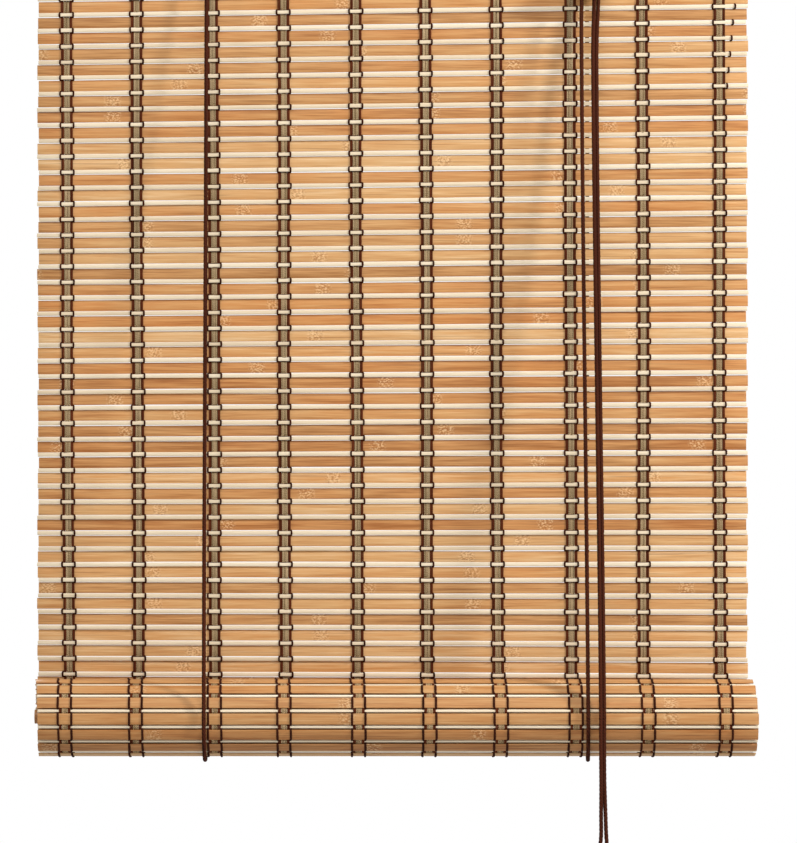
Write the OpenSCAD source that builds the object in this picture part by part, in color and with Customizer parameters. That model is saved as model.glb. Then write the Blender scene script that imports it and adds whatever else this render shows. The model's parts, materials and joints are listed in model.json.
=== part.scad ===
// Bamboo roll-up blind, half raised: a woven mat of wide slats and thin sticks hangs from a wooden
// head, its lower part is rolled up towards the room, and two cords carry the roll.
// Millimetres. The origin lies midway between the two hanging holes, on the wall.
// +X runs to the right, +Y into the wall and +Z up, so the front of the blind faces -Y.

/* [Mat] */
// Length of the slats, which is the width of the blind
mat_w = 600; // [480:5:900]
// Height of one wide slat
slat_h = 9.2; // [7:0.1:10]
// Thickness of one wide slat
slat_t = 1.0; // [0.8:0.05:1.4]
// Thickness of one thin stick
stick_d = 2.2; // [1.6:0.1:2.6]
// Open gap on each side of a stick
mat_gap = 0.99; // [0.6:0.01:1.5]
// Number of thread bands across the mat
band_count = 10; // [6:2:10]
// Distance from the middle of the outer thread bands to the ends of the slats
band_inset = 25.5; // [15:0.5:40]
// Width of a thread band
band_w = 9.4; // [7:0.1:12]
// Width of the grey middle threads of a band, which tie the slats and sticks together
middle_w = 4.4; // [3:0.1:6]
// Thickness of a thread band
band_t = 0.5; // [0.4:0.05:0.7]
// Largest sideways shift of a slat, which makes the edges ragged
end_stagger = 1; // [0:0.1:2]

/* [Roll] */
// Radius of the roll over its outer slats
roll_r = 34; // [30:0.5:40]
// Depth of the roll's axis below the hanging holes
roll_drop = 664; // [450:1:900]
// Arc from the back of the roll to the middle of its first slat
roll_start = 6; // [5.8:0.1:10]
// Diameter of the wooden rod that the mat's lower edge is fixed to
rod_d = 12; // [10:0.5:16]

/* [Head] */
// Depth of the head batten from front to back
batten_d = 20; // [16:0.5:30]
// Height of the head batten and of the lath that covers the mat
batten_h = 26; // [24:0.5:34]
// Thickness of the cover lath
lath_t = 5; // [4:0.5:8]
// Height of the hanging holes over the batten's top
hole_rise = 12; // [9:0.5:20]
// How far the mat reaches up behind the lath
mat_tuck = 20.3; // [12:0.1:22]
// Number of nails through the lath, on every second gap between thread bands
nail_count = 5; // [3:2:5]

/* [Hanging plates] */
// Distance from each hanging hole to the end of the blind
hole_inset = 65; // [40:1:110]
// Diameter of a hanging hole
hole_d = 5; // [4:0.1:6]
// Width of a plate
plate_w = 16; // [12:0.5:20]
// Thickness of a plate
plate_t = 2; // [1.6:0.1:3]

/* [Cords and pulleys] */
// Diameter of the cord
cord_d = 3.4; // [2.8:0.1:3.5]
// Radius at which the cord's middle runs on a sheave
sheave_pitch_r = 6.4; // [5.8:0.1:7]
// Thickness of a sheave
sheave_t = 5.4; // [5:0.1:5.8]
// Diameter of a pulley's axle
axle_d = 3; // [2.4:0.1:4]
// Sheet thickness of the pulley straps
strap_t = 1.2; // [1:0.1:1.6]
// Place of the left lift cord across the blind
lift_left_x = -156.8; // [-200:0.1:-120]
// Place of the right lift cord across the blind
lift_right_x = 160.2; // [159.8:0.1:160.6]
// How far each lift cord leans to the right on its way down to the roll
lift_lean = 1.3; // [0:0.1:3]
// How far to the right each lift cord comes up again behind the mat
rear_skew = 3.5; // [0:0.1:6]

/* [Hidden] */
$fn = 48;

bamboo = [0.78, 0.57, 0.36];
thread = [0.42, 0.31, 0.22];
cord_brown = [0.27, 0.16, 0.13];
steel = [0.62, 0.62, 0.60];
pine = [0.80, 0.64, 0.44];

// Clearances
fit = 0.3;          // between pieces that only lie beside each other
running = 0.05;     // round a shaft, on the radius
thread_play = 0.05; // round the dark threads at the edges of a band
sink = 0.2;         // depth of the middle threads in the bars of the roll
turn_gap = 0.3;     // between two turns of the roll

// Layers of the mat, counted from its back: slat, thread, stick
mat_t = slat_t + band_t + stick_d;
row_pitch = slat_h + stick_d + 2 * mat_gap;
band_pitch = (mat_w - 2 * band_inset) / (band_count - 1);
hole_spacing = mat_w - 2 * hole_inset;
batten_back_y = -plate_t;
mat_back_y = batten_back_y - batten_d;
thread_y = mat_back_y - slat_t - band_t / 2;
stick_y = mat_back_y - mat_t + stick_d / 2;
lath_back_y = mat_back_y - mat_t - thread_play;
lath_front_y = lath_back_y - lath_t;

// Heights
batten_top_z = -hole_rise;
batten_low_z = batten_top_z - batten_h;
batten_edge = 0.8;
mat_top_z = batten_low_z + mat_tuck;
axis_z = -roll_drop;
axis_y = mat_back_y - roll_r;
row_count = floor((mat_top_z - slat_h / 2 - axis_z - row_pitch / 2 - stick_d) / row_pitch) + 1;
mat_low_z = stick_z(row_count - 1) - stick_d / 2;

function slat_z(n) = mat_top_z - slat_h / 2 - n * row_pitch;
function stick_z(n) = slat_z(n) - row_pitch / 2;
function band_x(i) = (i - (band_count - 1) / 2) * band_pitch;
edge_w = (band_w - middle_w) / 2 - thread_play;
function edge_x(i, side) = band_x(i) + side * (band_w - edge_w) / 2;
function slat_shift(n) = end_stagger * sin(n * 137.5);

// The roll is a spiral that loses one layer a turn. Angles run from the back of the roll,
// under it and up its front, and arc lengths are taken along the threads.
layer = mat_t + turn_gap;
layer_per_rad = layer / (2 * PI);
thread_r = roll_r - slat_t - band_t / 2;
core_r = rod_d / 2 + fit + mat_t;
core_turns = (roll_r - core_r) / layer;
spiral_len = 2 * PI * core_turns * (thread_r - layer * core_turns / 2);
cell_count = floor((spiral_len - roll_start) / row_pitch);
open_cells = ceil((2 * PI * thread_r - PI * layer) / row_pitch);

function spiral_angle(s) =
  (thread_r - sqrt(thread_r * thread_r - 2 * layer_per_rad * s)) / layer_per_rad * 180 / PI;
function spiral_r(a) = roll_r - layer * a / 360;
function slat_angle(n) = spiral_angle(roll_start + n * row_pitch);
function stick_angle(n) = spiral_angle(roll_start + (n + 0.5) * row_pitch);
function around(r, a) = [axis_y + r * cos(a), axis_z - r * sin(a)];
function arc_deg(length, r) = length / r * 180 / PI;
function reversed(list) = [for (i = [len(list) - 1 : -1 : 0]) list[i]];

// Pulleys: all axles run from front to back
sheave_rim_r = sheave_pitch_r + cord_d * 0.3;
groove_play = 0.5;
sheave_groove_r = cord_d / 2 + groove_play;
strap_w = 2 * (sheave_rim_r + 2);
strap_back_y = lath_front_y;
sheave_room = sheave_t + 2 * fit;
rear_sheave_y = strap_back_y - strap_t - sheave_room / 2;
front_sheave_y = rear_sheave_y - sheave_t - fit;
sheave_drop = 15;
sheave_z = batten_top_z - sheave_drop;
bridge_z = sheave_z + sheave_rim_r + 2;
left_sheave_x = lift_left_x + sheave_pitch_r;
right_sheave_x = lift_right_x + sheave_pitch_r;
strap_low_z = sheave_z - sheave_rim_r - 3;
rivet_r = axle_d / 2 + 1.1;
rivet_t = 1;
double_room = 2 * sheave_t + 3 * fit;

// Cord lock under the right pulley
lock_drop = 31;
lock_low_z = sheave_z - lock_drop;
cheek_t = strap_t;
cheek_margin = 4;
cheek_left_gap = 2.4;
cheek_right_gap = 12.4;
cheek_left_x = right_sheave_x - cheek_left_gap;
cheek_right_x = right_sheave_x + cheek_right_gap;
cam_pin_d = 2;
cam_reach = 15.4;
cam_y = rear_sheave_y - cam_reach;
cam_drop = 18;
cam_z = sheave_z - cam_drop;
cam_nose_r = 9.5;
cam_sweep = 60;
cam_fall = 0.055;
cam_teeth = 7;
tooth_depth = 0.5;
cam_tab = 12;
cam_tab_t = 2.6;
cam_tab_end_r = 1.9;
cam_hub_r = 3.4;
anvil_r = 2.2;

// Lift cords: a sling under the roll, a run up behind the mat and a run up in front
sling_r = roll_r + fit + cord_d / 2 + fit;
sling_turn = asin(rear_skew / 2 / sling_r);
sling_reach = sling_r * cos(sling_turn);
eye_ring_r = 4.5;
eye_wire_r = 1;
eye_z = batten_low_z - eye_ring_r - 2.5;
eye_y = batten_back_y - batten_d / 2;
loop_r = 4.5;
loop_z = eye_z - eye_ring_r + eye_wire_r + cord_d / 2 + fit - loop_r;
knot_r = cord_d;

// Pull cords: their routes from the sheaves, over the front of the roll and down to the hank
pull_left_route = [
  [173, -35, -27.4], [173.2, -35.9, -40], [173.6, -36.6, -58], [174, -46, -160], [174.5, -57, -280],
  [175.1, -68, -400], [175.7, -79.5, -525], [176.3, -90, -634], [176.8, -92.7, -664],
  [177.4, -93, -690], [178.2, -93, -730], [178.8, -93, -766], [178.8, -93, -800]
];
pull_right_route = [
  [173, -40.6, -27.4], [171.9, -39.1, -40], [170, -38, -58], [170.4, -47.5, -160], [170.9, -58, -280],
  [171.5, -69, -400], [172.1, -80, -525], [172.8, -90, -634], [173.2, -92.7, -664],
  [173.9, -93, -690], [174.1, -93, -730], [174.2, -93, -766], [174.2, -93, -800]
];
tail_left_route = [[178, -103, -883.4], [177.9, -100.4, -890], [177.8, -97.5, -897.5], [177.8, -97, -902.7]];
tail_right_route = [[174, -103, -883.4], [174.1, -100.4, -890], [174.2, -97.5, -897.5], [174.2, -97, -902.7]];
ring_step = 3 * cord_d;
tube_sides = 8;

// Hank of spare pull cord
hank_x = 176;
hank_y = -93;
hank_turns = 8;
hank_fold_r = 10.3;
hank_layers = 2;
hank_run = 52;
hank_top_z = -800;
hank_lay = cord_d + 0.1;
hank_out_r = hank_fold_r + (hank_layers - 0.5) * hank_lay;
hank_in_r = hank_fold_r - hank_lay / 2;
hank_depth = hank_turns * hank_lay;
hank_mid_z = hank_top_z - hank_out_r - hank_run / 2;
tie_t = 1.2;
tie_h = 10;
knob_top_z = -903;
knob_len = 26;
knob_r = 8;
knob_x = 176;
knob_y = -97;

// Nails and screws
nail_d = 1.8;
nail_head_d = 4;
nail_head_t = 0.8;
nail_len = lath_t + mat_t + 10;
screw_d = 3;
screw_head_d = 5.6;
screw_len = 14;
plate_rise = plate_w / 2;
plate_low_z = batten_low_z + 3;
plate_screw_z = [batten_top_z - 5, batten_low_z + 8];
strap_screw_d = 2;
strap_screw_head_d = 3.8;
strap_screw_head_t = 1.4;
strap_screw_inset = 2.2;
strap_screw_z = sheave_z - sheave_rim_r - 0.2;
eye_bite = 10;

// Draws a flat outline, given as [back-to-front, height], as a bar along X
module along_x(length) {
  translate([-length / 2, 0, 0]) rotate([90, 0, 90]) linear_extrude(length) children();
}

// Turns a shape built along +Z so that it runs from a wall at y towards the front
module to_front(x, y, z) {
  translate([x, y, z]) rotate([90, 0, 0]) children();
}

module slat_outline() {
  edge = slat_t / 4;
  polygon([
    [-slat_t / 2, -slat_h / 2 + edge], [-slat_t / 2 + edge, -slat_h / 2],
    [slat_t / 2 - edge, -slat_h / 2], [slat_t / 2, -slat_h / 2 + edge],
    [slat_t / 2, slat_h / 2 - edge], [slat_t / 2 - edge, slat_h / 2],
    [-slat_t / 2 + edge, slat_h / 2], [-slat_t / 2, slat_h / 2 - edge]
  ]);
}

module stick_outline() {
  side = stick_d / 2;
  flat = side * tan(22.5);
  polygon([
    [side, flat], [flat, side], [-flat, side], [-side, flat],
    [-side, -flat], [-flat, -side], [flat, -side], [side, -flat]
  ]);
}

// One slat or stick: its outline stands at a place in the YZ plane, turned about X
module bar(place, turn, shift) {
  translate([shift, 0, 0]) along_x(mat_w) translate(place) rotate(turn) children();
}

module thread_strip(x, width, depth) {
  translate([x - width / 2, thread_y - depth / 2, mat_low_z])
    cube([width, depth, mat_top_z - mat_low_z]);
}

// An arc of thread round the roll's outer turn, from cell to cell, between two distances
// from the outer face of the slats
module thread_arc(x, width, near, far, cells) {
  angles = [for (n = [0 : cells - 1], half = [0, 1]) half == 0 ? slat_angle(n) : stick_angle(n)];
  outer = [for (a = angles) around(spiral_r(a) - near, a)];
  inner = [for (a = angles) around(spiral_r(a) - far, a)];
  translate([x, 0, 0]) along_x(width) polygon(concat(outer, reversed(inner)));
}

// The inner turns: one ridged strip, with slats outside and sticks inside
module inner_turns() {
  cells = [open_cells : cell_count - 1];
  outer = [
    for (n = cells, corner = [0 : 3])
      let (a = slat_angle(n), half = arc_deg(slat_h / 2, spiral_r(slat_angle(n))))
      let (c = a + (corner < 2 ? -half : half))
      around(spiral_r(c) - (corner == 0 || corner == 3 ? slat_t : 0), c)
  ];
  inner = [
    for (n = cells, corner = [0 : 4])
      let (
        a = corner == 0 ? slat_angle(n) : stick_angle(n),
        half = arc_deg(stick_d / 2, spiral_r(a) - mat_t),
        lift = corner == 2 || corner == 3 ? stick_d : 0,
        side = corner == 0 ? 0 : corner < 3 ? -1 : 1,
        c = a + side * half
      )
      around(spiral_r(c) - slat_t - band_t - lift, c)
  ];
  along_x(mat_w) polygon(concat(outer, reversed(inner)));
}

// Cords
function curve_point(p, i, t) =
  let (
    a = p[max(i - 1, 0)], b = p[i], c = p[i + 1], d = p[min(i + 2, len(p) - 1)],
    m = (c - a) / 2, n = (d - b) / 2
  )
  (2 * t ^ 3 - 3 * t ^ 2 + 1) * b + (t ^ 3 - 2 * t ^ 2 + t) * m
  + (-2 * t ^ 3 + 3 * t ^ 2) * c + (t ^ 3 - t ^ 2) * n;
function curve(p) = concat(
  [for (i = [0 : len(p) - 2])
    let (steps = max(1, round(norm(p[i + 1] - p[i]) / ring_step)))
    for (j = [0 : steps - 1]) curve_point(p, i, j / steps)],
  [p[len(p) - 1]]
);

// A tube along a route that never runs level to the right or left
module tube(route) {
  line = curve(route);
  last = len(line) - 1;
  rings = [
    for (i = [0 : last])
      let (
        ahead = line[min(i + 1, last)] - line[max(i - 1, 0)],
        side = cross(ahead, [1, 0, 0]) / norm(cross(ahead, [1, 0, 0])),
        over = cross(side, ahead) / norm(ahead)
      )
      for (j = [0 : tube_sides - 1])
        line[i] + cord_d / 2 * (cos(360 * j / tube_sides) * over + sin(360 * j / tube_sides) * side)
  ];
  walls = [
    for (i = [0 : last - 1], j = [0 : tube_sides - 1])
      let (k = (j + 1) % tube_sides, a = i * tube_sides, b = a + tube_sides)
      [a + j, b + j, b + k, a + k]
  ];
  start = [for (j = [0 : tube_sides - 1]) j];
  end = [for (j = [tube_sides - 1 : -1 : 0]) last * tube_sides + j];
  polyhedron(rings, concat([start, end], walls));
}

// A straight cord from one point to another
module straight_cord(from, to) {
  along = to - from;
  translate(from)
    rotate([0, acos(along[2] / norm(along)), atan2(along[1], along[0])])
      cylinder(h = norm(along), d = cord_d);
}

// A cord bent round an axle that runs from front to back
module cord_on_sheave(x, y, start, angle) {
  translate([x, y, sheave_z])
    rotate([90, 0, 0])
      rotate([0, 0, start])
        rotate_extrude(angle = angle) translate([sheave_pitch_r, 0]) circle(d = cord_d);
}

// Head
module head_batten() {
  y = [mat_back_y, mat_back_y + batten_d];
  z = [batten_low_z, batten_top_z];
  color(pine) along_x(mat_w) polygon([
    [y[0] + batten_edge, z[0]], [y[1] - batten_edge, z[0]], [y[1], z[0] + batten_edge],
    [y[1], z[1] - batten_edge], [y[1] - batten_edge, z[1]], [y[0] + batten_edge, z[1]],
    [y[0], z[1] - batten_edge], [y[0], z[0] + batten_edge]
  ]);
}

module cover_lath() {
  round_r = lath_t / 3;
  color(pine) along_x(mat_w) difference() {
    translate([lath_front_y, batten_low_z]) square([lath_t, batten_h]);
    for (z = [batten_low_z, batten_top_z])
      translate([lath_front_y, z]) rotate(45) square(round_r, center = true);
  }
}

module lath_nails() {
  color(steel)
    for (i = [0 : nail_count - 1])
      to_front((i - (nail_count - 1) / 2) * 2 * band_pitch, lath_front_y, slat_z(0)) {
        translate([0, 0, -nail_len]) cylinder(h = nail_len, d = nail_d);
        cylinder(h = nail_head_t, d = nail_head_d);
      }
}

module hanger(x) {
  color(steel) difference() {
    to_front(x, 0, 0) linear_extrude(plate_t) {
      circle(r = plate_rise);
      translate([-plate_w / 2, plate_low_z]) square([plate_w, -plate_low_z]);
    }
    to_front(x, fit, 0) cylinder(h = plate_t + 2 * fit, d = hole_d);
    for (z = plate_screw_z) to_front(x, 0, z) screw_shape(running);
  }
}

module hanger_left() { hanger(-hole_spacing / 2); }
module hanger_right() { hanger(hole_spacing / 2); }

// A countersunk screw from the wall side into the batten, grown by a clearance for its hole
module screw_shape(play) {
  cylinder(h = screw_len, d = screw_d + 2 * play);
  translate([0, 0, -play])
    cylinder(h = plate_t * 0.7 + play, d1 = screw_head_d + 2 * play, d2 = screw_d + 2 * play);
}

module hanger_screws() {
  color(steel)
    for (x = [-1, 1] * hole_spacing / 2, z = plate_screw_z) to_front(x, 0, z) screw_shape(0);
}

// Mat
module flat_mat() {
  color(bamboo) {
    for (n = [0 : row_count - 1]) {
      bar([mat_back_y - slat_t / 2, slat_z(n)], 0, slat_shift(n)) slat_outline();
      bar([stick_y, stick_z(n)], 0, slat_shift(n + 0.5)) stick_outline();
    }
    for (i = [0 : band_count - 1]) thread_strip(band_x(i), middle_w, band_t);
  }
}

module thread_bands() {
  color(thread)
    for (i = [0 : band_count - 1], side = [-1, 1])
      thread_strip(edge_x(i, side), edge_w, band_t - 2 * thread_play);
}

module rolled_mat() {
  color(bamboo) {
    inner_turns();
    for (n = [0 : open_cells - 1]) {
      a = slat_angle(n);
      b = stick_angle(n);
      bar(around(spiral_r(a) - slat_t / 2, a), -a, slat_shift(n + 7)) slat_outline();
      bar(around(spiral_r(b) - mat_t + stick_d / 2, b), -b, slat_shift(n + 7.5)) stick_outline();
    }
    for (i = [0 : band_count - 1])
      thread_arc(band_x(i), middle_w, slat_t - sink, slat_t + band_t + sink, open_cells + 1);
  }
}

module roll_bands() {
  color(thread)
    for (i = [0 : band_count - 1], side = [-1, 1])
      thread_arc(
        edge_x(i, side), edge_w, slat_t + thread_play, slat_t + band_t - thread_play, open_cells
      );
}

module bottom_rod() {
  color(pine)
    translate([-mat_w / 2, axis_y, axis_z]) rotate([0, 90, 0]) cylinder(h = mat_w, d = rod_d);
}

// Rear cord eyes
module screw_eye(x) {
  color(steel) translate([x, eye_y, eye_z]) {
    rotate([0, 90, 0]) rotate_extrude() translate([eye_ring_r, 0]) circle(r = eye_wire_r);
    translate([0, 0, eye_ring_r])
      cylinder(h = batten_low_z - eye_z - eye_ring_r + eye_bite, r = eye_wire_r);
  }
}

module screw_eye_left() { screw_eye(lift_left_x + lift_lean + rear_skew); }
module screw_eye_right() { screw_eye(lift_right_x + lift_lean + rear_skew); }

// Pulleys
module sheave(x, y) {
  color(steel) translate([x, y, sheave_z]) rotate([90, 0, 0]) rotate_extrude() difference() {
    translate([axle_d / 2 + running, -sheave_t / 2])
      square([sheave_rim_r - axle_d / 2 - running, sheave_t]);
    translate([sheave_pitch_r, 0]) circle(r = sheave_groove_r);
    translate([sheave_pitch_r, -sheave_groove_r]) square(2 * sheave_groove_r);
  }
}

module sheave_left() { sheave(left_sheave_x, rear_sheave_y); }
module sheave_right_rear() { sheave(right_sheave_x, rear_sheave_y); }
module sheave_right_front() { sheave(right_sheave_x, front_sheave_y); }

// A strap bent over the sheaves, open below, with a back leaf that is screwed to the lath
module strap(x, room, back_low_z) {
  front_y = strap_back_y - 2 * strap_t - room;
  translate([x, 0, 0]) along_x(strap_w) {
    translate([strap_back_y - strap_t, back_low_z])
      square([strap_t, bridge_z + strap_t - back_low_z]);
    translate([front_y, bridge_z]) square([room + 2 * strap_t, strap_t]);
    translate([front_y, strap_low_z]) square([strap_t, bridge_z + strap_t - strap_low_z]);
  }
}

module axle_hole(x, room) {
  to_front(x, strap_back_y + fit, sheave_z)
    cylinder(h = room + 2 * strap_t + 2 * fit, d = axle_d + 2 * running);
}

module axle(x, room) {
  color(steel) to_front(x, strap_back_y, sheave_z) {
    cylinder(h = room + 2 * strap_t + rivet_t, d = axle_d);
    translate([0, 0, room + 2 * strap_t + running]) cylinder(h = rivet_t, r = rivet_r);
  }
}

module pulley_axle_left() { axle(left_sheave_x, sheave_room); }
module pulley_axle_right() { axle(right_sheave_x, double_room); }

function screw_places(x) = [for (side = [-1, 1]) x + side * (strap_w / 2 - strap_screw_inset)];

module strap_screw_holes(x) {
  for (place = screw_places(x))
    to_front(place, strap_back_y + fit, strap_screw_z)
      cylinder(h = strap_t + 2 * fit, d = strap_screw_d + 2 * running);
}

module pulley_strap_left() {
  color(steel) difference() {
    strap(left_sheave_x, sheave_room, strap_low_z);
    axle_hole(left_sheave_x, sheave_room);
    strap_screw_holes(left_sheave_x);
  }
}

// The right strap reaches lower: it carries two cheeks for the cam and, behind the cords, a rounded
// anvil
module lock_strap() {
  cheek_h = cam_z + cheek_margin - lock_low_z;
  color(steel) difference() {
    union() {
      strap(right_sheave_x, double_room, lock_low_z);
      for (x = [cheek_left_x, cheek_right_x])
        translate([x - cheek_t / 2, cam_y - cheek_margin, lock_low_z])
          cube([cheek_t, strap_back_y - strap_t / 2 - cam_y + cheek_margin, cheek_h]);
      translate([cheek_right_x - strap_w / 2, strap_back_y - strap_t, lock_low_z])
        cube([strap_w / 2 + cheek_t / 2, strap_t, cheek_h]);
      translate([cheek_left_x, strap_back_y - strap_t, cam_z])
        rotate([0, 90, 0]) cylinder(h = cheek_right_x - cheek_left_x, r = anvil_r);
    }
    axle_hole(right_sheave_x, double_room);
    strap_screw_holes(right_sheave_x);
    translate([cheek_left_x - strap_w, strap_back_y, lock_low_z - fit])
      cube([3 * strap_w, anvil_r + fit, 2 * cheek_h]);
    translate([cheek_left_x - cheek_t, cam_y, cam_z])
      rotate([0, 90, 0])
        cylinder(h = cheek_right_x - cheek_left_x + 2 * cheek_t, d = cam_pin_d + 2 * running);
  }
}

module lock_cam_pin() {
  color(steel) translate([cheek_left_x - cheek_t / 2, cam_y, cam_z]) rotate([0, 90, 0]) {
    cylinder(h = cheek_right_x - cheek_left_x + cheek_t + rivet_t, d = cam_pin_d);
    translate([0, 0, cheek_right_x - cheek_left_x + cheek_t + running])
      cylinder(h = rivet_t, d = 2 * cam_pin_d);
  }
}

// The cam grips the cords with a toothed nose, and the weight of its thumb tab keeps it closed
module lock_cam() {
  width = cheek_right_x - cheek_left_x - cheek_t - 2 * fit;
  teeth = [
    for (i = [0 : 2 * cam_teeth])
      let (
        a = cam_sweep * i / (2 * cam_teeth),
        r = cam_nose_r - a * cam_fall - (i % 2 == 0 ? 0 : tooth_depth)
      )
      [r * cos(a), r * sin(a)]
  ];
  color(steel)
    translate([(cheek_left_x + cheek_right_x) / 2, cam_y, cam_z]) along_x(width) difference() {
      union() {
        circle(r = cam_hub_r);
        polygon(concat([[0, -cam_hub_r * 0.6]], teeth, [[-cam_hub_r * 0.5, cam_hub_r * 0.7]]));
        translate([-cam_tab, -cam_tab_t / 2]) square([cam_tab, cam_tab_t]);
        translate([-cam_tab, 0]) circle(r = cam_tab_end_r);
      }
      circle(d = cam_pin_d + 2 * running);
    }
}

module strap_screws() {
  color(steel)
    for (place = concat(screw_places(left_sheave_x), screw_places(right_sheave_x)))
      to_front(place, strap_back_y, strap_screw_z) {
        translate([0, 0, -lath_t + fit])
          cylinder(h = lath_t - fit + strap_t + strap_screw_head_t, d = strap_screw_d);
        translate([0, 0, strap_t + running])
          cylinder(h = strap_screw_head_t, d = strap_screw_head_d);
      }
}

// Lift cords
module lift_rear(x) {
  top = [x, eye_y, loop_z - loop_r];
  color(cord_brown) {
    translate([x, eye_y, loop_z])
      rotate([90, 0, 0]) rotate_extrude() translate([loop_r, 0]) circle(d = cord_d);
    translate(top) sphere(r = knot_r);
    straight_cord(top, [x, axis_y + sling_reach, axis_z + fit]);
  }
}

module lift_sling(x) {
  color(cord_brown) translate([x + lift_lean + rear_skew / 2, axis_y, axis_z])
    rotate([0, 0, -sling_turn]) rotate([90, 0, 90]) rotate([0, 0, 180])
      rotate_extrude(angle = 180) translate([sling_r, 0]) circle(d = cord_d);
}

module lift_front(x, y) {
  color(cord_brown)
    straight_cord([x, y, sheave_z - fit], [x + lift_lean, axis_y - sling_reach, axis_z + fit]);
}

module lift_rear_left() { lift_rear(lift_left_x + lift_lean + rear_skew); }
module lift_rear_right() { lift_rear(lift_right_x + lift_lean + rear_skew); }
module lift_sling_left() { lift_sling(lift_left_x); }
module lift_sling_right() { lift_sling(lift_right_x); }
module lift_front_left() { lift_front(lift_left_x, rear_sheave_y); }
module lift_front_right() { lift_front(lift_right_x, front_sheave_y); }

// The left cord's way along the head: over its own sheave, across, and over the right rear sheave
module cross_cord() {
  top_z = sheave_z + sheave_pitch_r;
  color(cord_brown) {
    cord_on_sheave(left_sheave_x, rear_sheave_y, 90, 90);
    straight_cord([left_sheave_x, rear_sheave_y, top_z], [right_sheave_x, rear_sheave_y, top_z]);
    cord_on_sheave(right_sheave_x, rear_sheave_y, 0, 90);
  }
}

module turn_cord() { color(cord_brown) cord_on_sheave(right_sheave_x, front_sheave_y, 0, 180); }

// Pull cords and what hangs on them
module pull_cord_left() {
  color(cord_brown) {
    tube(pull_left_route);
    tube(tail_left_route);
  }
}

module pull_cord_right() {
  color(cord_brown) {
    tube(pull_right_route);
    tube(tail_right_route);
  }
}

module oval(r) {
  for (side = [-1, 1]) translate([0, side * hank_run / 2]) circle(r = r);
  square([2 * r, hank_run], center = true);
}

module pull_hank() {
  color(cord_brown) translate([hank_x, hank_y + hank_depth / 2, hank_mid_z])
    rotate([90, 0, 0]) linear_extrude(hank_depth) difference() {
      oval(hank_out_r);
      oval(hank_in_r);
    }
}

module hank_tie() {
  inside = [2 * (hank_out_r + fit), hank_depth + 2 * fit];
  color(thread)
    translate([hank_x, hank_y, hank_mid_z - tie_h / 2]) linear_extrude(tie_h) difference() {
      square(inside + 2 * [tie_t, tie_t], center = true);
      square(inside, center = true);
    }
}

module pull_knob() {
  color(pine) translate([knob_x, knob_y, knob_top_z - knob_len]) rotate_extrude() {
    translate([0, knob_r]) square([knob_r * 0.45, knob_len - knob_r]);
    translate([0, knob_r * 0.6]) intersection() {
      translate([0, knob_r * 0.4]) circle(r = knob_r);
      translate([0, -knob_r]) square([knob_r, 3 * knob_r]);
    }
  }
}

head_batten();
cover_lath();
lath_nails();
hanger_left();
hanger_right();
hanger_screws();
flat_mat();
thread_bands();
rolled_mat();
roll_bands();
bottom_rod();
screw_eye_left();
screw_eye_right();
pulley_strap_left();
pulley_axle_left();
sheave_left();
lock_strap();
pulley_axle_right();
sheave_right_front();
sheave_right_rear();
lock_cam();
lock_cam_pin();
strap_screws();
lift_rear_left();
lift_rear_right();
lift_sling_left();
lift_sling_right();
lift_front_left();
lift_front_right();
cross_cord();
turn_cord();
pull_cord_left();
pull_cord_right();
pull_hank();
hank_tie();
pull_knob();
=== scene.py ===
# %% [markdown]
# # A bamboo roll-up blind, half raised
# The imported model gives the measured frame: head, pulleys, cords, flat mat and roll, each on its own
# moving body. This lesson dresses that frame: every slat, stick and thread becomes a piece of its own
# shape, the cords get their twist, and each surface gets a finish made of nodes.

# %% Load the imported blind
import json
import math
import random

import bpy
from mathutils import Matrix, Vector


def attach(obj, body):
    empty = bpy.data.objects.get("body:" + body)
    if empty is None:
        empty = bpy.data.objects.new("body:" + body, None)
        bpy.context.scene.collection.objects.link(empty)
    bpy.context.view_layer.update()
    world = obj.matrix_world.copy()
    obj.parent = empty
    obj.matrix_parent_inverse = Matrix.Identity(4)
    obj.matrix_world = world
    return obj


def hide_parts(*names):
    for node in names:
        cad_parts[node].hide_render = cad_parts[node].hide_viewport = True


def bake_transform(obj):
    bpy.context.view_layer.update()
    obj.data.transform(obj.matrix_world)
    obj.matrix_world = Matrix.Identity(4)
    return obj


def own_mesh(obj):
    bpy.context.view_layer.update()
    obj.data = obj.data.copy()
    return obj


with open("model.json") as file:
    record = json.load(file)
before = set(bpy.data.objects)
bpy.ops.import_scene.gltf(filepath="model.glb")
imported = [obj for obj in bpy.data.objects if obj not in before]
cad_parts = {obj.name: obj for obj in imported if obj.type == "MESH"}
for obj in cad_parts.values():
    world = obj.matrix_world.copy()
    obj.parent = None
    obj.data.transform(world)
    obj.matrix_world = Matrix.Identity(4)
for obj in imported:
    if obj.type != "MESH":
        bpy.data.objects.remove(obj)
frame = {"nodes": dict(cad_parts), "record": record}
bpy.ops.object.select_all(action="DESELECT")
nodes = frame["nodes"]
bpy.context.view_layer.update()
MM = 0.001

# %% [markdown]
# ## Sizes that the pieces share
# These repeat the sizes of the solids, in millimetres, so that each dressed piece lies where its solid
# does. The mat is three layers from back to front: slats, a layer of thread, and sticks. The roll is a
# spiral, wound towards the room, that loses one layer of mat with each turn.

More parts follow.
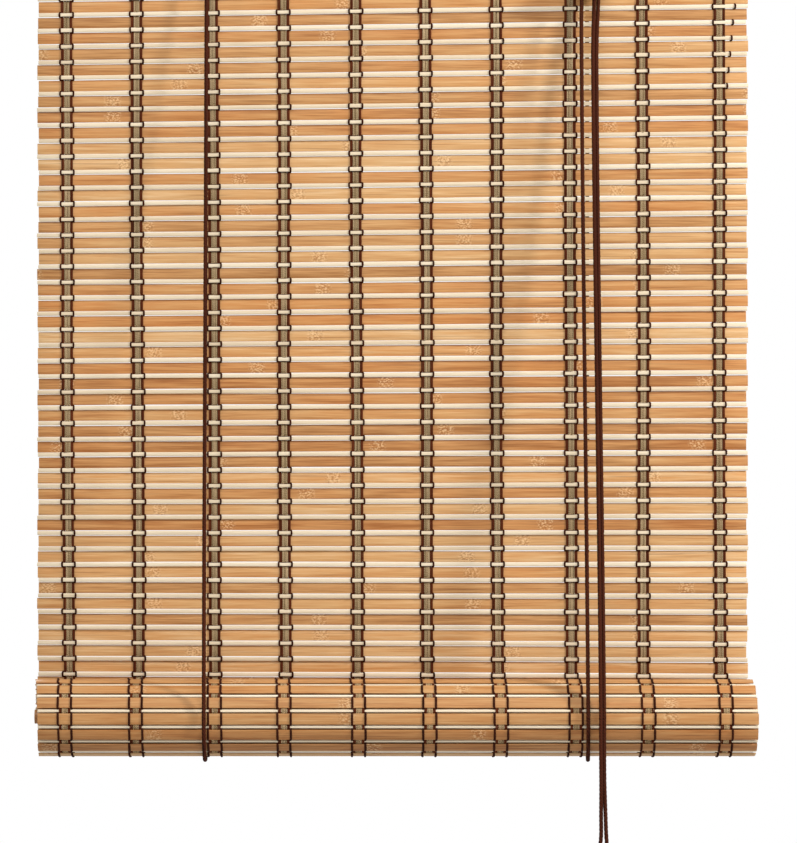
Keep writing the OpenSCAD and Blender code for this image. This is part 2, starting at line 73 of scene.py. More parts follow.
# %% Sizes of the mat and the roll
MAT_W = 600
SLAT_H, SLAT_T = 9.2, 1.0
STICK_D = 2.2
STICK_FACE = 3.5
BAND_T = 0.5
ROW_PITCH = 13.38
MAT_BACK_Y = -22
MAT_TOP_Z = -17.7
FLAT_ROWS = 48
BAND_COUNT, BAND_PITCH = 10, 61
AXIS_Y, AXIS_Z = -56, -664
ROLL_R = 34
TURN_LAYER = 4.0
ROLL_START = 6
ROD_R = 6
CORD_D = 3.4
mat_t = SLAT_T + BAND_T + STICK_D
thread_r = ROLL_R - SLAT_T - BAND_T / 2
layer_per_rad = TURN_LAYER / (2 * math.pi)
core_turns = (ROLL_R - (ROD_R + 0.3 + mat_t)) / TURN_LAYER
spiral_len = 2 * math.pi * core_turns * (thread_r - TURN_LAYER * core_turns / 2)
roll_cells = int((spiral_len - ROLL_START) / ROW_PITCH)


def slat_z(row):
    return MAT_TOP_Z - SLAT_H / 2 - row * ROW_PITCH


def stick_z(row):
    return slat_z(row) - ROW_PITCH / 2


def band_x(band):
    return (band - (BAND_COUNT - 1) / 2) * BAND_PITCH


def spiral_angle(length):
    """Angle of a place on the roll, in radians from the back of the roll, by its length of mat."""
    return (thread_r - math.sqrt(thread_r**2 - 2 * layer_per_rad * length)) / layer_per_rad


def spiral_r(angle):
    return ROLL_R - TURN_LAYER * angle / (2 * math.pi)


def around(radius, angle):
    return AXIS_Y + radius * math.cos(angle), AXIS_Z - radius * math.sin(angle)


print("rows in the roll", roll_cells, "turns", round(core_turns, 2))

# %% [markdown]
# ## Camera
# The photograph looks straight at the blind from far away, level with the middle of the picture. A long
# lens keeps the rows parallel, as in the photograph. The frame is higher than wide, so the lens is set
# by the picture's height at the mat.

# %% Camera
MAT_PLANE_Y = -0.0236
CAMERA_FROM_MAT = 3.8
PICTURE_H = 0.7132
PICTURE_MIDDLE = (0.005, -0.4166)
SENSOR_H = 24
bpy.ops.object.camera_add(
    location=(PICTURE_MIDDLE[0], MAT_PLANE_Y - CAMERA_FROM_MAT, PICTURE_MIDDLE[1]),
    rotation=(math.pi / 2, 0, 0),
)
camera = bpy.context.active_object
camera.data.sensor_fit = "VERTICAL"
camera.data.sensor_height = SENSOR_H
camera.data.lens = SENSOR_H * CAMERA_FROM_MAT / PICTURE_H
bpy.context.scene.camera = camera
print("lens", round(camera.data.lens, 1))

# %% [markdown]
# ## Light, floor and background
# Product light: a lamp on each side, which throws the cords' shadows inwards, a broad soft one above
# and in front, and one behind for the back. The world is white where the camera, a reflection or a
# see-through surface looks past the blind, and a plain grey where it lights the blind.

# %% World
ROOM_LIGHT = 0.1
scene = bpy.context.scene
scene.view_settings.view_transform = "Standard"
world = bpy.data.worlds.new("studio")
scene.world = world
world.use_nodes = True
tree = world.node_tree
tree.nodes.clear()
light_path = tree.nodes.new("ShaderNodeLightPath")
seen = tree.nodes.new("ShaderNodeMath")
seen.operation = "MAXIMUM"
seen_all = tree.nodes.new("ShaderNodeMath")
seen_all.operation = "MAXIMUM"
tree.links.new(light_path.outputs["Is Camera Ray"], seen.inputs[0])
tree.links.new(light_path.outputs["Is Glossy Ray"], seen.inputs[1])
tree.links.new(seen.outputs[0], seen_all.inputs[0])
tree.links.new(light_path.outputs["Is Transmission Ray"], seen_all.inputs[1])
room_light = tree.nodes.new("ShaderNodeBackground")
room_light.inputs["Color"].default_value = (1, 1, 1, 1)
room_light.inputs["Strength"].default_value = ROOM_LIGHT
white_back = tree.nodes.new("ShaderNodeBackground")
white_back.inputs["Color"].default_value = (1, 1, 1, 1)
world_mix = tree.nodes.new("ShaderNodeMixShader")
tree.links.new(seen_all.outputs[0], world_mix.inputs[0])
tree.links.new(room_light.outputs[0], world_mix.inputs[1])
tree.links.new(white_back.outputs[0], world_mix.inputs[2])
world_out = tree.nodes.new("ShaderNodeOutputWorld")
tree.links.new(world_mix.outputs[0], world_out.inputs[0])


# %% Lamps and floor
def soft_lamp(name, place, aim, size, power):
    bpy.ops.object.light_add(type="AREA", location=place)
    lamp = bpy.context.active_object
    lamp.name = name
    lamp.data.size = size
    lamp.data.energy = power
    lamp.rotation_euler = (Vector(aim) - Vector(place)).to_track_quat("-Z", "Y").to_euler()


BLIND_MIDDLE = (0, -0.05, -0.45)
soft_lamp("left_lamp", (-2.3, -1.3, 0.8), BLIND_MIDDLE, 0.4, 13)
soft_lamp("right_lamp", (2.3, -1.2, 0.8), BLIND_MIDDLE, 0.35, 60)
soft_lamp("top_lamp", (0.3, -2.3, 1.9), BLIND_MIDDLE, 2.8, 77)
soft_lamp("back_lamp", (-0.7, 2.4, 0), BLIND_MIDDLE, 1.6, 32)
FLOOR_Z, FLOOR_SIDE = -0.98, 3
FLOOR_GREY = (0.65, 0.65, 0.64, 1)
bpy.ops.mesh.primitive_plane_add(size=FLOOR_SIDE, location=(0, 0, FLOOR_Z))
floor = bpy.context.active_object
floor.name = "floor"
floor_paint = bpy.data.materials.new("pale_floor")
floor_paint.use_nodes = True
floor_shader = floor_paint.node_tree.nodes["Principled BSDF"]
floor_shader.inputs["Base Color"].default_value = FLOOR_GREY
floor_shader.inputs["Roughness"].default_value = 0.9
floor.data.materials.append(floor_paint)
print("lamps and floor ready")

# %% [markdown]
# ## Making cords
# A cord is three strands laid round each other. Its section is a circle with three soft lobes, and it
# turns a little with each ring along the route, so the twist is real shape. The route is a smooth curve
# through a few points, cut into short equal steps.


# %% Cord tools
FINE_STEPS = 24


def smooth_route(points, step):
    """A smooth line through the points, cut into nearly equal steps, in millimetres. Its headings are
    weighed by the square root of each stretch, so a short bend next to a long run doesn't overshoot."""
    fine = []
    last = len(points) - 1
    for i in range(last):
        b, c = points[i], points[i + 1]
        a = points[i - 1] if i > 0 else 2 * b - c
        d = points[i + 2] if i + 2 <= last else 2 * c - b
        before, here, after = ((q - p).length ** 0.5 for p, q in ((a, b), (b, c), (c, d)))
        leave = here * ((b - a) / before - (c - a) / (before + here) + (c - b) / here)
        arrive = here * ((c - b) / here - (d - b) / (here + after) + (d - c) / after)
        for k in range(FINE_STEPS):
            t = k / FINE_STEPS
            fine.append(
                (2 * t**3 - 3 * t**2 + 1) * b
                + (t**3 - 2 * t**2 + t) * leave
                + (3 * t**2 - 2 * t**3) * c
                + (t**3 - t**2) * arrive
            )
    fine.append(points[last])
    total = sum((fine[i + 1] - fine[i]).length for i in range(len(fine) - 1))
    count = max(2, round(total / step))
    route, gone, i = [fine[0]], 0.0, 0
    for k in range(1, count):
        want = total * k / count
        while gone + (fine[i + 1] - fine[i]).length < want:
            gone += (fine[i + 1] - fine[i]).length
            i += 1
        part = (want - gone) / (fine[i + 1] - fine[i]).length
        route.append(fine[i].lerp(fine[i + 1], part))
    route.append(fine[-1])
    return route, total


LOBES = 3
LOBE_DEPTH, LOBE_SWELL = 0.2, 1.35
LAY_LENGTH = 11
CORD_SIDES = 12
CORD_STEP = 1.5


def cord_mesh(name, points, diameter=CORD_D, step=CORD_STEP):
    """A twisted cord along the points, in millimetres. Returns the object, its path and its length."""
    route, length = smooth_route([Vector(p) for p in points], step)
    verts, faces = [], []
    side = None
    for i, place in enumerate(route):
        ahead = (route[min(i + 1, len(route) - 1)] - route[max(i - 1, 0)]).normalized()
        if side is None:
            side = ahead.orthogonal().normalized()
        side = (side - ahead * side.dot(ahead)).normalized()
        over = ahead.cross(side)
        turn = 2 * math.pi * (i * length / (len(route) - 1)) / LAY_LENGTH
        for k in range(CORD_SIDES):
            a = 2 * math.pi * k / CORD_SIDES
            lobe = abs(math.sin(LOBES * (a - turn) / 2))
            r = diameter / 2 * (1 - LOBE_DEPTH + LOBE_DEPTH * lobe * LOBE_SWELL)
            verts.append((place + r * (math.cos(a) * side + math.sin(a) * over)) * MM)
    for i in range(len(route) - 1):
        for k in range(CORD_SIDES):
            n = (k + 1) % CORD_SIDES
            a, b = i * CORD_SIDES, (i + 1) * CORD_SIDES
            faces.append((a + k, a + n, b + n, b + k))
    faces.append(tuple(reversed(range(CORD_SIDES))))
    faces.append(tuple(len(verts) - CORD_SIDES + k for k in range(CORD_SIDES)))
    mesh = bpy.data.meshes.new(name)
    mesh.from_pydata(verts, [], faces)
    mesh.shade_smooth()
    piece = bpy.data.objects.new(name, mesh)
    scene.collection.objects.link(piece)
    return piece, [list(p * MM) for p in route], length * MM


cords = []

# %% [markdown]
# ## Lift cords
# Each lift cord starts at an eye behind the mat, runs down, passes under the roll and comes up in front,
# over a sheave in the head. The runs shorten when the roll rises, and the slings under the roll climb
# with it. Here each run is put on the head's body, and each sling on the slings' body.

# %% Lift cord runs and slings
SHEAVE_Z = -27
SHEAVE_R = 6.4
REAR_SHEAVE_Y, FRONT_SHEAVE_Y = -34.95, -40.65
LIFT_X = {"left": -156.8, "right": 160.2}
LIFT_TOP_Y = {"left": REAR_SHEAVE_Y, "right": FRONT_SHEAVE_Y}
LIFT_LEAN = {"left": 0, "right": 2.5}
LIFT_SWAY = {"left": 0, "right": -1.6}
SLING_SKEW = {"left": -0.6, "right": 2.3}
EYE_X = {"left": -152, "right": 165}
SLING_R = 36.3
EYE_Y = -12
KNOT_Z = -55.5
SLING_POINTS = 16
RUN_POINTS = 14
LIFT_BOW, PULL_BOW = 3.5, 5
BOW_POWER, SWAY_POWER = 3, 0.4


def sling_point(hand, angle):
    """A point of the sling: angle 0 is its rear end, half a turn on is its front end."""
    half_skew = SLING_SKEW[hand] / 2
    c = math.cos(angle)
    middle = LIFT_X[hand] + LIFT_LEAN[hand] + half_skew
    return (middle + half_skew * c, AXIS_Y + SLING_R * c, AXIS_Z - SLING_R * math.sin(angle))


def front_run(top, end, bow, sway=0):
    """A run down to the roll's front. It bows a little forward near the roll, so that it clears the
    roll when that is raised, and sways a little to the side below its top."""
    points = []
    for k in range(RUN_POINTS + 1):
        t = k / RUN_POINTS
        x, y, z = (a + (b - a) * t for a, b in zip(top, end))
        side = sway * math.sin(math.pi * t**SWAY_POWER)
        points.append((x + side, y - bow * math.sin(math.pi * t**BOW_POWER), z))
    return points


def squash_run(piece):
    """Puts the run on the head's body, with a mesh of its own."""
    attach(piece, "head")
    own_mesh(piece)


for hand, x in LIFT_X.items():
    front_end = sling_point(hand, math.pi)
    rear_end = sling_point(hand, 0)
    front, _, front_len = cord_mesh(
        "lift_front_" + hand + "_cord",
        front_run((x, LIFT_TOP_Y[hand], SHEAVE_Z), front_end, LIFT_BOW, LIFT_SWAY[hand]),
    )
    squash_run(front)
    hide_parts("lift_front_" + hand)
    rear, _, rear_len = cord_mesh(
        "lift_rear_" + hand + "_cord", [(EYE_X[hand], EYE_Y, KNOT_Z), rear_end]
    )
    squash_run(rear)
    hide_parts("lift_rear_" + hand)
    sling, _, sling_len = cord_mesh(
        "lift_sling_" + hand + "_cord",
        [sling_point(hand, math.pi * k / SLING_POINTS) for k in range(SLING_POINTS + 1)],
    )
    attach(sling, "slings")
    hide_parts("lift_sling_" + hand)
    cords += [front, rear, sling]
    print(hand, "lift cord", round(front_len + rear_len + sling_len, 3), "m")

# %% [markdown]
# ## Cords in the head
# The fixed ends are loops through the screw eyes, closed by a wrapped knot. The left cord goes over its
# own sheave, along the lath and over the rear sheave at the right; the right cord goes over the front
# sheave. Both then pass down through the lock. None of this moves when the roll climbs.

# %% Loops, knots and head cords
LOOP_R, LOOP_POINTS = 4.5, 16
LOOP_Z = KNOT_Z + LOOP_R
KNOT_R, KNOT_TOP, KNOT_PITCH = 2.4, 3.2, 2.9
KNOT_WRAPS, KNOT_POINTS = 3, 36
CROSS_SAG = 1.2
LEFT_SHEAVE_X, RIGHT_SHEAVE_X = -150.4, 166.6
LOCK_LOW_Z = -58
LOCK_EXIT = {"left": (173.6, -36.6, LOCK_LOW_Z), "right": (170, -38, LOCK_LOW_Z)}


def sheave_arc(x, y, start, end, count):
    angles = [start + (end - start) * k / count for k in range(count + 1)]
    return [(x + SHEAVE_R * math.cos(a), y, SHEAVE_Z + SHEAVE_R * math.sin(a)) for a in angles]


for hand, eye_x in EYE_X.items():
    loop, knot = [], []
    for k in range(LOOP_POINTS + 1):
        a = 2 * math.pi * k / LOOP_POINTS
        loop.append((eye_x + LOOP_R * math.sin(a), EYE_Y, LOOP_Z - LOOP_R * math.cos(a)))
    for k in range(KNOT_POINTS + 1):
        a = 2 * math.pi * KNOT_WRAPS * k / KNOT_POINTS
        z = KNOT_Z + KNOT_TOP - KNOT_PITCH * a / (2 * math.pi)
        knot.append((eye_x + KNOT_R * math.cos(a), EYE_Y + KNOT_R * math.sin(a), z))
    for name, points in (("eye_loop_", loop), ("eye_knot_", knot)):
        piece, _, _ = cord_mesh(name + hand, points)
        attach(piece, "head")
        cords.append(piece)

quarter = math.pi / 2
left_head_points = (
    sheave_arc(LEFT_SHEAVE_X, REAR_SHEAVE_Y, 2 * quarter, quarter, 6)
    + [(0, REAR_SHEAVE_Y, SHEAVE_Z + SHEAVE_R - CROSS_SAG)]
    + sheave_arc(RIGHT_SHEAVE_X, REAR_SHEAVE_Y, quarter, 0, 6)
    + [(173.2, -35.9, -40), LOCK_EXIT["left"]]
)
right_head_points = (
    sheave_arc(RIGHT_SHEAVE_X, FRONT_SHEAVE_Y, 2 * quarter, 0, 12)
    + [(171.9, -39.1, -40), LOCK_EXIT["right"]]
)
left_head, _, _ = cord_mesh("head_cord_left", left_head_points)
right_head, _, _ = cord_mesh("head_cord_right", right_head_points)
for piece, node in ((left_head, "cross_cord"), (right_head, "turn_cord")):
    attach(piece, "head")
    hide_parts(node)
    cords.append(piece)
print("head cords", len(cords), "cord pieces so far")

# %% [markdown]
# ## Pull cords
# Two strands hang from the lock, lie against the front of the roll and go down to a hank of spare cord,
# which a tie holds, with a knob on the ends. The upper run goes on the head's body. The lower part
# leaves the roll and joins the hank; it stays where it is built, on no body.

# %% Pull cord routes
ROLL_FRONT = {"left": (175.9, -92.7, AXIS_Z), "right": (173.1, -94.8, AXIS_Z)}
PULL_SWAY = {"left": -2.1, "right": -1.6}
UPPER_ROUTE = {
    hand: front_run(LOCK_EXIT[hand], ROLL_FRONT[hand], PULL_BOW, PULL_SWAY[hand]) for hand in LOCK_EXIT
}
HANK_X, HANK_Y = 176, -93
HANK_TURNS = 8
HANK_LAY = 3.5
HANK_RUN = 52
HANK_FOLD_R = {"left": 10.5, "right": 13.9}
HANK_MID_Z = -841.55
RUN_CUTS, FOLD_POINTS = 3, 8
KNOB_TOP_Z = -903


def hank_turns(side, fold_r, first_y):
    """Turns of the hank from back to front. They go down on the given side (+1 right, -1 left)."""
    points = []
    for turn in range(HANK_TURNS):
        loop = []
        for k in range(RUN_CUTS):
            loop.append((fold_r * side, HANK_RUN / 2 - HANK_RUN * k / RUN_CUTS))
        for k in range(FOLD_POINTS):
            a = math.pi * k / FOLD_POINTS
            loop.append((fold_r * side * math.cos(a), -HANK_RUN / 2 - fold_r * math.sin(a)))
        for k in range(RUN_CUTS):
            loop.append((-fold_r * side, -HANK_RUN / 2 + HANK_RUN * k / RUN_CUTS))
        for k in range(FOLD_POINTS):
            a = math.pi * k / FOLD_POINTS
            loop.append((-fold_r * side * math.cos(a), HANK_RUN / 2 + fold_r * math.sin(a)))
        for k, (dx, dz) in enumerate(loop):
            y = first_y - HANK_LAY * (turn + k / len(loop))
            points.append((HANK_X + dx, y, HANK_MID_Z + dz))
    return points


LOWER_ROUTE = {
    "left": [
        ROLL_FRONT["left"], (175.9, -93, -690), (176.1, -93.2, -717), (176.9, -93.2, -742),
        (177.8, -92.4, -764), (179.9, -88, -780), (183.6, -80.8, -794), (186, -76.4, -806),
    ]
    + hank_turns(1, HANK_FOLD_R["left"], -75.6)
    + [
        (186.2, -104.6, -818), (186, -107.4, -832), (185, -108.6, -848), (182.6, -108.6, -864),
        (179.6, -107.6, -878), (178.2, -103.4, -888), (177.8, -98, -896), (177.8, -97, KNOB_TOP_Z),
    ],
    "right": [
        ROLL_FRONT["right"], (173.1, -95, -690), (173.3, -95.2, -717), (173.2, -95, -742),
        (173, -93.8, -764), (170.4, -89.6, -780), (165.6, -83.2, -794), (162.6, -79.4, -806),
    ]
    + hank_turns(-1, HANK_FOLD_R["right"], -79)
    + [
        (162.3, -107.6, -818), (162.8, -108.6, -832), (164.6, -108.6, -848), (168, -108.4, -864),
        (172, -107, -878), (173.8, -103, -888), (174.2, -98, -896), (174.2, -97, KNOB_TOP_Z),
    ],
}

# %% Pull cord pieces
for hand in ("left", "right"):
    upper, upper_path, upper_len = cord_mesh("pull_run_" + hand, UPPER_ROUTE[hand])
    squash_run(upper)
    lower, lower_path, lower_len = cord_mesh("pull_tail_" + hand, LOWER_ROUTE[hand])
    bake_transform(lower)
    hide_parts("pull_cord_" + hand, "pull_hank")
    cords += [upper, lower]
    print(hand, "pull cord", round(upper_len, 3), "+", round(lower_len, 3), "m")

# %% [markdown]
# ## Tie and knob
# The tie is a thin cord wound a few times round the waist of the hank. The knob is turned wood: its half
# outline is drawn as a chain of points and spun round its own axis.

# %% Tie
TIE_D, TIE_STEP = 2, 1.2
TIE_WRAPS, TIE_POINTS = 5, 20
TIE_PITCH, TIE_TOP = 2.1, 4.2
TIE_HALF_X, TIE_HALF_Y = 16.8, 16.6
tie_points = []
for k in range(TIE_WRAPS * TIE_POINTS + 1):
    a = 2 * math.pi * k / TIE_POINTS
    c, s = math.cos(a), math.sin(a)
    bulge = (c**4 + s**4) ** -0.25
    x, y = HANK_X + TIE_HALF_X * bulge * c, HANK_Y + TIE_HALF_Y * bulge * s
    tie_points.append((x, y, HANK_MID_Z + TIE_TOP - TIE_PITCH * k / TIE_POINTS))
tie, _, _ = cord_mesh("hank_tie_wraps", tie_points, diameter=TIE_D, step=TIE_STEP)
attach(tie, "head")
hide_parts("hank_tie")
cords.append(tie)


# %% Knob
def only(piece):
    """Makes a piece the only selected and active one."""
    bpy.ops.object.select_all(action="DESELECT")
    piece.select_set(True)
    bpy.context.view_layer.objects.active = piece


KNOB_X, KNOB_Y = 176, -97
KNOB_SIDES = 40
KNOB_OUTLINE = [
    (0, -26), (3, -25.8), (5.5, -24.6), (7.2, -22.2), (8, -19), (7.9, -16), (7.1, -13.2), (5.8, -11),
    (5.2, -10), (5.9, -9.3), (5.9, -8.3), (5, -7.6), (4.4, -5.5), (4.1, -3), (4.1, -1), (3.7, -0.3),
    (3, 0), (0, 0),
]
bpy.ops.mesh.primitive_plane_add(size=MM)
knob = bpy.context.active_object
knob.name = "turned_knob"
bpy.ops.object.mode_set(mode="EDIT")
bpy.ops.mesh.delete(type="VERT")
bpy.ops.object.mode_set(mode="OBJECT")
knob.data.from_pydata(
    [((KNOB_X + r) * MM, KNOB_Y * MM, (KNOB_TOP_Z + z) * MM) for r, z in KNOB_OUTLINE],
    [(k, k + 1) for k in range(len(KNOB_OUTLINE) - 1)],
    [],
)
only(knob)
bpy.ops.object.mode_set(mode="EDIT")
bpy.ops.mesh.select_all(action="SELECT")
bpy.ops.mesh.spin(
    steps=KNOB_SIDES, angle=2 * math.pi, center=(KNOB_X * MM, KNOB_Y * MM, 0), axis=(0, 0, 1)
)
bpy.ops.mesh.select_all(action="SELECT")
bpy.ops.mesh.remove_doubles(threshold=0.00002)
bpy.ops.mesh.normals_make_consistent(inside=False)
bpy.ops.object.mode_set(mode="OBJECT")
knob.data.shade_smooth()
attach(knob, "head")
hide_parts("pull_knob")
print("knob faces", len(knob.data.polygons))

# %% [markdown]
# ## Slats and sticks
# A slat is split bamboo: a long flat strip with softened edges, never quite straight. One slat is
# modelled from a cube, bevelled and cut along its length, and then copied. A stick is split too, so its
# back is narrower than its face. Each copy gets its own bow, tilt and end, and carries its tint and the
# place of its joint mark as attributes for the finish.

# %% One slat and one stick
LENGTH_CUTS = 23
BEVEL_STEPS = 2
SLAT_BEVEL, STICK_BEVEL = 0.32, 0.6
LONG_EDGE = 0.1
dice = random.Random(41)


def cut_bar(name, height, thickness, bevel):
    """A bar along X with bevelled edges, cut into short lengths so that it can bow."""
    bpy.ops.mesh.primitive_cube_add(size=1)
    piece = bpy.context.active_object
    piece.name = name
    bpy.ops.object.mode_set(mode="EDIT")
    bpy.ops.mesh.select_all(action="SELECT")
    bpy.ops.transform.resize(value=(MAT_W * MM, thickness * MM, height * MM))
    bpy.ops.mesh.select_mode(type="EDGE")
    bpy.ops.mesh.bevel(offset=bevel * MM, segments=BEVEL_STEPS, affect="EDGES")
    bpy.ops.mesh.select_all(action="DESELECT")
    bpy.ops.object.mode_set(mode="OBJECT")
    for edge in piece.data.edges:
        a, b = (piece.data.vertices[v].co for v in edge.vertices)
        edge.select = abs(a.x - b.x) > LONG_EDGE
    bpy.ops.object.mode_set(mode="EDIT")
    bpy.ops.mesh.subdivide(number_cuts=LENGTH_CUTS)
    bpy.ops.object.mode_set(mode="OBJECT")
    return piece


slat_master = cut_bar("slat_master", SLAT_H, SLAT_T, SLAT_BEVEL)
stick_master = cut_bar("stick_master", STICK_FACE, STICK_D, STICK_BEVEL)
for v in stick_master.data.vertices:
    if v.co.y > 0:
        v.co.z *= STICK_D / STICK_FACE
print("slat faces", len(slat_master.data.polygons), "stick faces", len(stick_master.data.polygons))


# %% Copies with their own bow, ends and marks
BOW_UP, BOW_OUT, OUT_SHARE = 3.1, 2.6, 0.25
SMOOTH_ANGLE = math.radians(25)
RAGGED_TURN, RAGGED_BY = math.radians(137.5), 0.7
TOP_TILT, LOW_TILT, TILT_POWER = math.radians(0.76), math.radians(-0.25), 1.5
HEAD_ROWS, STICK_SINK = 2, 1.0


def strip_copy(master, name, place, tilt, turn, shift, bow, stretch, rolled=0):
    """One slat or stick: place is (y, z), tilt is seen from the front, turn is about X."""
    mesh = master.data.copy()
    piece = bpy.data.objects.new(name, mesh)
    scene.collection.objects.link(piece)
    phase = dice.uniform(0, 6.28)
    waves = dice.uniform(0.6, 1.5)
    for v in mesh.vertices:
        s = 2 * v.co.x / (MAT_W * MM)
        v.co.x = v.co.x * stretch + shift * MM
        v.co.z += bow * MM * math.sin(waves * BOW_UP * s + phase)
        v.co.y += OUT_SHARE * bow * MM * math.cos(waves * BOW_OUT * s + phase)
    mesh.transform(Matrix.Rotation(turn, 4, "X"))
    mesh.transform(Matrix.Rotation(-tilt, 4, "Y"))
    mesh.transform(Matrix.Translation((0, place[0] * MM, place[1] * MM)))
    # The painted-light flag marks roll pieces for painted light: the finish darkens such slats as
    # painted shade and makes such sticks paler as a painted highlight.
    for key, value in (
        ("tint", dice.random()),
        ("rolled", rolled),
        ("warmth", dice.random()),
        ("mark_x", dice.uniform(-0.75, 0.75)),
    ):
        attribute = mesh.attributes.new(key, "FLOAT", "POINT")
        attribute.data.foreach_set("value", [value] * len(mesh.vertices))
    return piece


def joined(pieces, name):
    only(pieces[0])
    for piece in pieces:
        piece.select_set(True)
    bpy.ops.object.join()
    whole = bpy.context.active_object
    whole.name = name
    whole.data.name = name
    only(whole)
    bpy.ops.object.shade_smooth_by_angle(angle=SMOOTH_ANGLE)
    return whole


def ragged(row):
    """How far a row sticks out sideways."""
    return math.sin(RAGGED_TURN * row) * RAGGED_BY


def row_tilt(row):
    return TOP_TILT + (LOW_TILT - TOP_TILT) * (row / (FLAT_ROWS - 1)) ** TILT_POWER


def stick_sink(row):
    """Below the head the threads pull the sticks in between the slats."""
    return 0 if row < HEAD_ROWS else STICK_SINK


SLAT_Y, STICK_Y = MAT_BACK_Y - SLAT_T / 2, MAT_BACK_Y - mat_t + STICK_D / 2
flat_slats, flat_sticks = [], []
for row in range(FLAT_ROWS):
    flat_slats.append(strip_copy(
        slat_master, f"slat_{row}", (SLAT_Y, slat_z(row)), row_tilt(row), 0,
        ragged(row), dice.uniform(0.05, 0.3), 1 + dice.uniform(-0.001, 0.001),
    ))
    flat_sticks.append(strip_copy(
        stick_master, f"stick_{row}", (STICK_Y + stick_sink(row), stick_z(row)),
        row_tilt(row + 0.5), 0, ragged(row + 0.5), dice.uniform(0.05, 0.25),
        1 + dice.uniform(-0.0015, 0.0015),
    ))
flat_slats = joined(flat_slats, "flat_slats")
flat_sticks = joined(flat_sticks, "flat_sticks")
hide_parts("flat_mat")
print("flat mat", len(flat_slats.data.polygons), len(flat_sticks.data.polygons), "faces")

# %% Slats and sticks of the roll
ROLL_SHIFT = 4.6
ROLL_STICK_DEPTH = 1.6
# Roll slats below this turn from the back of the roll get painted shade; the rows at the top of the roll
# don't.
ROLL_PAINTED_SHADE_TURN = 232
ROLL_RAGGED, ROLL_BOW, ROLL_STRETCH = 0.25, 0.04, 0.0004
UP_DRIFT, LOW_DRIFT = 3.6, 1.2


def roll_drift(angle):
    """The roll is wound a little askew: its rows lie further left towards the top and the bottom."""
    turn = math.degrees(angle) % 360
    up = max(0, (turn - 185) / 85) ** 1.4
    down = max(0, (150 - turn) / 60)
    return ROLL_SHIFT - UP_DRIFT * min(up, 1.2) - LOW_DRIFT * min(down, 1)


roll_slats, roll_sticks = [], []
for cell in range(roll_cells):
    a = spiral_angle(ROLL_START + cell * ROW_PITCH)
    b = spiral_angle(ROLL_START + (cell + 0.5) * ROW_PITCH)
    # The last argument sets the painted-light flag: painted shade on every roll slat except those at the
    # top.
    roll_slats.append(strip_copy(
        slat_master, f"roll_slat_{cell}", around(spiral_r(a) - SLAT_T / 2, a), 0, -a,
        roll_drift(a) + ROLL_RAGGED * ragged(cell + 7), ROLL_BOW,
        1 + dice.uniform(-ROLL_STRETCH, ROLL_STRETCH), math.degrees(a) % 360 < ROLL_PAINTED_SHADE_TURN,
    ))
    # Every roll stick carries the painted-light flag, which the finish turns into a painted highlight.
    roll_sticks.append(strip_copy(
        stick_master, f"roll_stick_{cell}", around(spiral_r(b) - ROLL_STICK_DEPTH, b), 0, -b,
        roll_drift(b) + ROLL_RAGGED * ragged(cell + 7.5), ROLL_BOW,
        1 + dice.uniform(-ROLL_STRETCH, ROLL_STRETCH), 1,
    ))
roll_slats = joined(roll_slats, "roll_slats")
roll_sticks = joined(roll_sticks, "roll_sticks")
for piece in (roll_slats, roll_sticks):
    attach(piece, "roll")
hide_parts("rolled_mat")
for master in (slat_master, stick_master):
    bpy.data.objects.remove(master)
print("roll", len(roll_slats.data.polygons), len(roll_sticks.data.polygons), "faces")

# %% [markdown]
# ## Threads
# Eight flat-lying threads make a band: two brown ones at each edge and four olive-grey ones between
# them. They run between the slats and the sticks. A dark binder on each side goes behind the slats and
# over the sticks, and pulls them together, and crosses from side to side above and below each stick.
# Each thread is a poly curve with a round section.

# %% Thread tools
BAND_THREADS = [-4.3, -3.15, -1.8, -0.6, 0.6, 1.8, 3.15, 4.3]
BROWN = (0, 1, 6, 7)
THREAD_R = 0.62
BINDER_R = 0.85
ROLL_BINDER_R = 1.0
CROSS_R = 0.42
THREAD_ROUND = 1
BINDER_X = 5.5
BAND_LEAN, BAND_SWAY = 1.4, 0.4
BAND_OFFSET = [-0.5, -2.2, 1.4, -0.1, 0.1, -1.7, -3.3, -1.9, -1.6, 2.1]
LOOSE_BINDER, LOOSE_ROWS = 12, 8.5
MAT_FRONT_Y = MAT_BACK_Y - SLAT_T
CROSS_RISE = 1.42


def thread_curves(name, lines, radius):
    """Round threads along lines of points in millimetres, as one mesh."""
    curve = bpy.data.curves.new(name, "CURVE")
    curve.dimensions = "3D"
    curve.bevel_depth = radius * MM
    curve.bevel_resolution = THREAD_ROUND
    curve.use_fill_caps = True
    for line in lines:
        spline = curve.splines.new("POLY")
        spline.points.add(len(line) - 1)
        for point, place in zip(spline.points, line):
            point.co = (place[0] * MM, place[1] * MM, place[2] * MM, 1)
    piece = bpy.data.objects.new(name, curve)
    scene.collection.objects.link(piece)
    only(piece)
    bpy.ops.object.convert(target="MESH")
    piece = bpy.context.active_object
    piece.data.shade_smooth()
    return piece


def band_drift(band, row):
    """Sideways wander of a band, which leans and sways a little down the mat."""
    share = row / (FLAT_ROWS - 1)
    lean = BAND_LEAN * (1 - 0.06 * band) * (2 * share - 1)
    return BAND_OFFSET[band] + lean + BAND_SWAY * math.sin(row / 6 + band * 2.1)


